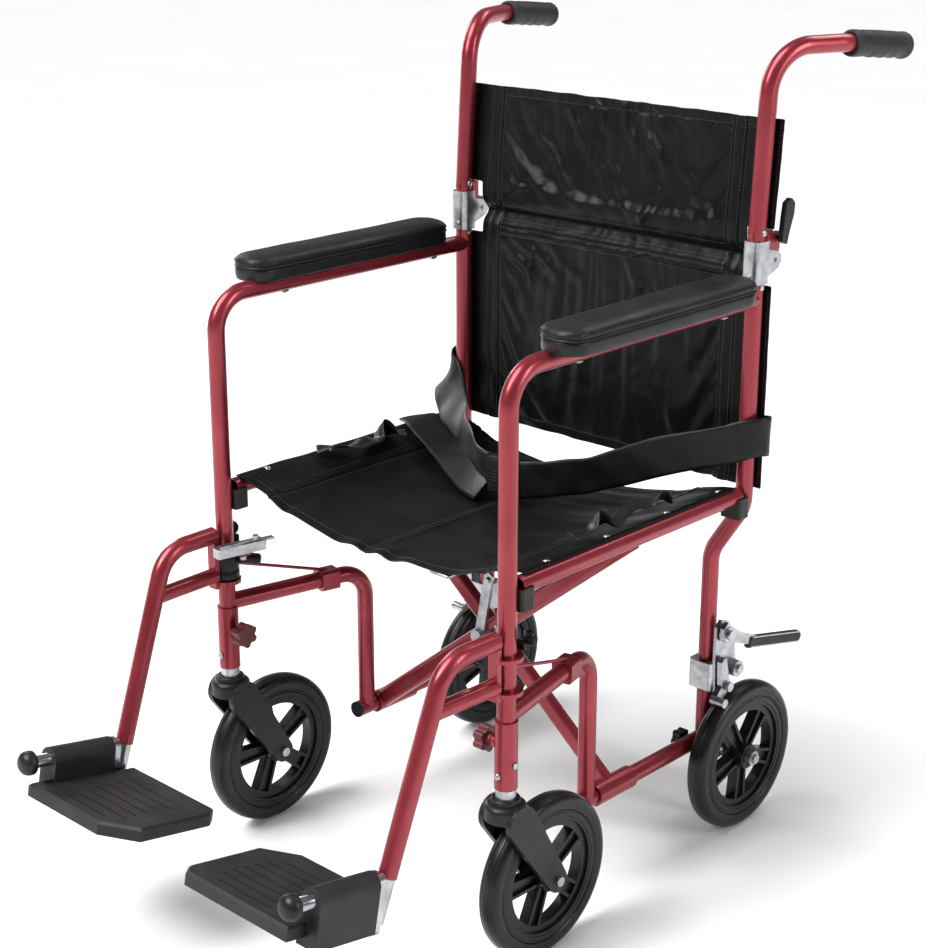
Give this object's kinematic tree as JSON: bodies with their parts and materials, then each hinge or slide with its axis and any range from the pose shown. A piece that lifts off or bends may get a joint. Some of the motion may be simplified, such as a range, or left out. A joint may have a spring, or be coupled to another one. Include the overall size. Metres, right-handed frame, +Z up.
{
  "type": "transport wheelchair",
  "caption": "Folding transport chair: red tube side frames on a scissor brace, fabric seat and back, swing-away legrests, casters and small rear wheels.",
  "frame": {"origin": "on the floor, at the middle of the bounding box in X and Y", "axes": "+Z up, the chair faces -Y, +X is the seated person's left"},
  "size_m": [0.607, 1.0052, 1.043],
  "materials": {
    "frame_red": "metallic red lacquer",
    "knob_red": "dark red, moulded",
    "fitting_steel": "zinc plated",
    "chrome_tube": "plated",
    "black_plastic": "fine grain",
    "footplate_plastic": "fine grain",
    "rim_plastic": "satin",
    "tyre": "smooth rubber",
    "grip_rubber": "matt",
    "pad_cover": "coated nylon",
    "nylon": "coated nylon, soft sheen",
    "webbing": "woven"
  },
  "bodies": {
    "right_frame": {"right_back_post": "frame_red", "right_arm_tube": "frame_red", "right_lower_bow": "frame_red", "right_lower_rail": "frame_red", "right_frame_plastics": "black_plastic", "right_hinge_channel": "fitting_steel", "right_rear_fittings": "fitting_steel", "right_arm_pad_base": "black_plastic", "right_arm_pad": "pad_cover", "back_lower": "nylon", "seat_belt": "webbing"},
    "left_frame": {"left_back_post": "frame_red", "left_arm_tube": "frame_red", "left_lower_bow": "frame_red", "left_lower_rail": "frame_red", "left_frame_plastics": "black_plastic", "left_hinge_channel": "fitting_steel", "left_rear_fittings": "fitting_steel", "left_arm_pad_base": "black_plastic", "left_arm_pad": "pad_cover"},
    "brace_b": {"brace_b": "frame_red", "seat_sling": "nylon"},
    "brace_a": {"brace_a": "frame_red"},
    "centre_link": {"brace_pivot": "fitting_steel"},
    "belt_buckle": {"belt_buckle": "black_plastic"},
    "right_cane": {"right_back_cane": "frame_red", "right_push_grip": "grip_rubber", "back_upper": "nylon"},
    "right_release": {"right_back_release": "black_plastic"},
    "right_caster": {"right_caster_fork": "black_plastic", "right_caster_hardware": "fitting_steel"},
    "right_caster_wheel": {"right_caster_tyre": "tyre", "right_caster_rim": "rim_plastic"},
    "right_rear_wheel": {"right_rear_tyre": "tyre", "right_rear_rim": "rim_plastic"},
    "right_brake_lever": {"right_brake_lever": "fitting_steel"},
    "right_brake_shoe": {"right_brake_shoe": "fitting_steel"},
    "right_hanger": {"right_legrest_hanger": "frame_red"},
    "right_latch": {"right_hanger_latch": "fitting_steel"},
    "right_extension": {"right_legrest_extension": "chrome_tube"},
    "right_pin": {"right_footplate_pin": "chrome_tube"},
    "right_footplate": {"right_footplate": "footplate_plastic"},
    "right_knob": {"right_clamp_knob": "knob_red"},
    "left_cane": {"left_back_cane": "frame_red", "left_push_grip": "grip_rubber"},
    "left_release": {"left_back_release": "black_plastic"},
    "left_caster": {"left_caster_fork": "black_plastic", "left_caster_hardware": "fitting_steel"},
    "left_caster_wheel": {"left_caster_tyre": "tyre", "left_caster_rim": "rim_plastic"},
    "left_rear_wheel": {"left_rear_tyre": "tyre", "left_rear_rim": "rim_plastic"},
    "left_brake_lever": {"left_brake_lever": "fitting_steel"},
    "left_brake_shoe": {"left_brake_shoe": "fitting_steel"},
    "left_hanger": {"left_legrest_hanger": "frame_red"},
    "left_latch": {"left_hanger_latch": "fitting_steel"},
    "left_extension": {"left_legrest_extension": "chrome_tube"},
    "left_pin": {"left_footplate_pin": "chrome_tube"},
    "left_footplate": {"left_footplate": "footplate_plastic"},
    "left_knob": {"left_clamp_knob": "knob_red"}
  },
  "joints": [
    {"name": "fold", "type": "hinge", "parent": "right_frame", "child": "brace_b", "pos_m": [-0.195, 0.055, 0.13], "axis": [0, -1, 0], "range_deg": [0, 37], "deforming": ["seat_sling", "back_upper", "back_lower", "seat_belt"]},
    {"name": "cross", "type": "hinge", "parent": "brace_b", "child": "brace_a", "pos_m": [0, 0.064, 0.28743], "axis": [0, -1, 0], "range_deg": [-74, 0]},
    {"name": "left_rail_hinge", "type": "hinge", "parent": "brace_a", "child": "left_frame", "pos_m": [0.195, 0.074, 0.13], "axis": [0, -1, 0], "range_deg": [0, 37]},
    {"name": "link_hinge", "type": "hinge", "parent": "brace_b", "child": "centre_link", "pos_m": [0, 0.045, 0.28743], "axis": [0, -1, 0], "range_deg": [-37, 0]},
    {"name": "buckle_shift", "type": "slide", "parent": "right_frame", "child": "belt_buckle", "axis": [-1, 0, 0], "range_m": [0, 0.13401]},
    {"name": "right_back_fold", "type": "hinge", "parent": "right_frame", "child": "right_cane", "pos_m": [-0.241, 0.294, 0.776], "axis": [-1, 0, 0], "range_deg": [0, 150]},
    {"name": "right_release_press", "type": "hinge", "parent": "right_cane", "child": "right_release", "pos_m": [-0.241, 0.297, 0.803], "axis": [-1, 0, 0], "range_deg": [0, 15], "stiffness_Nm_per_rad": 0.03, "springref_deg": -22.92},
    {"name": "right_caster_swivel", "type": "hinge", "parent": "right_frame", "child": "right_caster", "pos_m": [-0.241, -0.171, 0.24], "axis": [0, 0, 1], "continuous": true},
    {"name": "right_caster_roll", "type": "hinge", "parent": "right_caster", "child": "right_caster_wheel", "pos_m": [-0.241, -0.105, 0.1016], "axis": [1, 0, 0], "continuous": true},
    {"name": "right_rear_roll", "type": "hinge", "parent": "right_frame", "child": "right_rear_wheel", "pos_m": [-0.227, 0.308, 0.1016], "axis": [1, 0, 0], "continuous": true},
    {"name": "right_brake", "type": "hinge", "parent": "right_frame", "child": "right_brake_lever", "pos_m": [-0.225, 0.27, 0.285], "axis": [1, 0, 0], "range_deg": [0, 55]},
    {"name": "right_brake_shoe_swing", "type": "hinge", "parent": "right_frame", "child": "right_brake_shoe", "pos_m": [-0.225, 0.272, 0.212], "axis": [1, 0, 0], "range_deg": [0, 10]},
    {"name": "right_legrest_swing", "type": "hinge", "parent": "right_frame", "child": "right_hanger", "pos_m": [-0.241, -0.171, 0.38], "axis": [0, 0, -1], "range_deg": [0, 90]},
    {"name": "right_latch_press", "type": "hinge", "parent": "right_hanger", "child": "right_latch", "pos_m": [-0.215, -0.164, 0.405], "axis": [0, 0, 1], "range_deg": [0, 18], "stiffness_Nm_per_rad": 0.05, "springref_deg": -22.92},
    {"name": "right_legrest_length", "type": "slide", "parent": "right_hanger", "child": "right_extension", "axis": [0.029, -0.3433, -0.9388], "range_m": [0, 0.06]},
    {"name": "right_footplate_clear", "type": "hinge", "parent": "right_extension", "child": "right_pin", "pos_m": [-0.232, -0.42, 0.209], "axis": [0, -0.9816, 0.1908], "range_deg": [0, 90]},
    {"name": "right_footplate_flip", "type": "hinge", "parent": "right_pin", "child": "right_footplate", "pos_m": [-0.232, -0.42, 0.209], "axis": [0, 0.9816, -0.1908], "range_deg": [-90, 0]},
    {"name": "right_knob_turn", "type": "hinge", "parent": "right_frame", "child": "right_knob", "pos_m": [-0.211, -0.171, 0.293], "axis": [1, 0, 0], "continuous": true},
    {"name": "left_back_fold", "type": "hinge", "parent": "left_frame", "child": "left_cane", "pos_m": [0.241, 0.294, 0.776], "axis": [-1, 0, 0], "range_deg": [0, 150]},
    {"name": "left_release_press", "type": "hinge", "parent": "left_cane", "child": "left_release", "pos_m": [0.241, 0.297, 0.803], "axis": [-1, 0, 0], "range_deg": [0, 15], "stiffness_Nm_per_rad": 0.03, "springref_deg": -22.92},
    {"name": "left_caster_swivel", "type": "hinge", "parent": "left_frame", "child": "left_caster", "pos_m": [0.241, -0.171, 0.24], "axis": [0, 0, 1], "continuous": true},
    {"name": "left_caster_roll", "type": "hinge", "parent": "left_caster", "child": "left_caster_wheel", "pos_m": [0.241, -0.105, 0.1016], "axis": [1, 0, 0], "continuous": true},
    {"name": "left_rear_roll", "type": "hinge", "parent": "left_frame", "child": "left_rear_wheel", "pos_m": [0.227, 0.308, 0.1016], "axis": [1, 0, 0], "continuous": true},
    {"name": "left_brake", "type": "hinge", "parent": "left_frame", "child": "left_brake_lever", "pos_m": [0.225, 0.27, 0.285], "axis": [1, 0, 0], "range_deg": [0, 55]},
    {"name": "left_brake_shoe_swing", "type": "hinge", "parent": "left_frame", "child": "left_brake_shoe", "pos_m": [0.225, 0.272, 0.212], "axis": [1, 0, 0], "range_deg": [0, 10]},
    {"name": "left_legrest_swing", "type": "hinge", "parent": "left_frame", "child": "left_hanger", "pos_m": [0.241, -0.171, 0.38], "axis": [0, 0, 1], "range_deg": [0, 90]},
    {"name": "left_latch_press", "type": "hinge", "parent": "left_hanger", "child": "left_latch", "pos_m": [0.215, -0.164, 0.405], "axis": [0, 0, -1], "range_deg": [0, 18], "stiffness_Nm_per_rad": 0.05, "springref_deg": -22.92},
    {"name": "left_legrest_length", "type": "slide", "parent": "left_hanger", "child": "left_extension", "axis": [-0.029, -0.3433, -0.9388], "range_m": [0, 0.06]},
    {"name": "left_footplate_clear", "type": "hinge", "parent": "left_extension", "child": "left_pin", "pos_m": [0.232, -0.42, 0.209], "axis": [0, 0.9816, -0.1908], "range_deg": [0, 90]},
    {"name": "left_footplate_flip", "type": "hinge", "parent": "left_pin", "child": "left_footplate", "pos_m": [0.232, -0.42, 0.209], "axis": [0, -0.9816, 0.1908], "range_deg": [-90, 0]},
    {"name": "left_knob_turn", "type": "hinge", "parent": "left_frame", "child": "left_knob", "pos_m": [0.211, -0.171, 0.293], "axis": [1, 0, 0], "continuous": true}
  ],
  "couplings": [
    {"joint": "cross", "follows": "fold", "ratio": -2},
    {"joint": "left_rail_hinge", "follows": "fold", "ratio": 1},
    {"joint": "link_hinge", "follows": "fold", "ratio": -1},
    {"joint": "buckle_shift", "follows": "fold", "m_per_rad": 0.20752},
    {"joint": "right_brake_shoe_swing", "follows": "right_brake", "ratio": 0.18182},
    {"joint": "right_footplate_clear", "follows": "fold", "ratio": 2.4324},
    {"joint": "left_brake_shoe_swing", "follows": "left_brake", "ratio": 0.18182},
    {"joint": "left_footplate_clear", "follows": "fold", "ratio": 2.4324},
    {"joint": "left_back_fold", "follows": "right_back_fold", "ratio": 1}
  ]
}
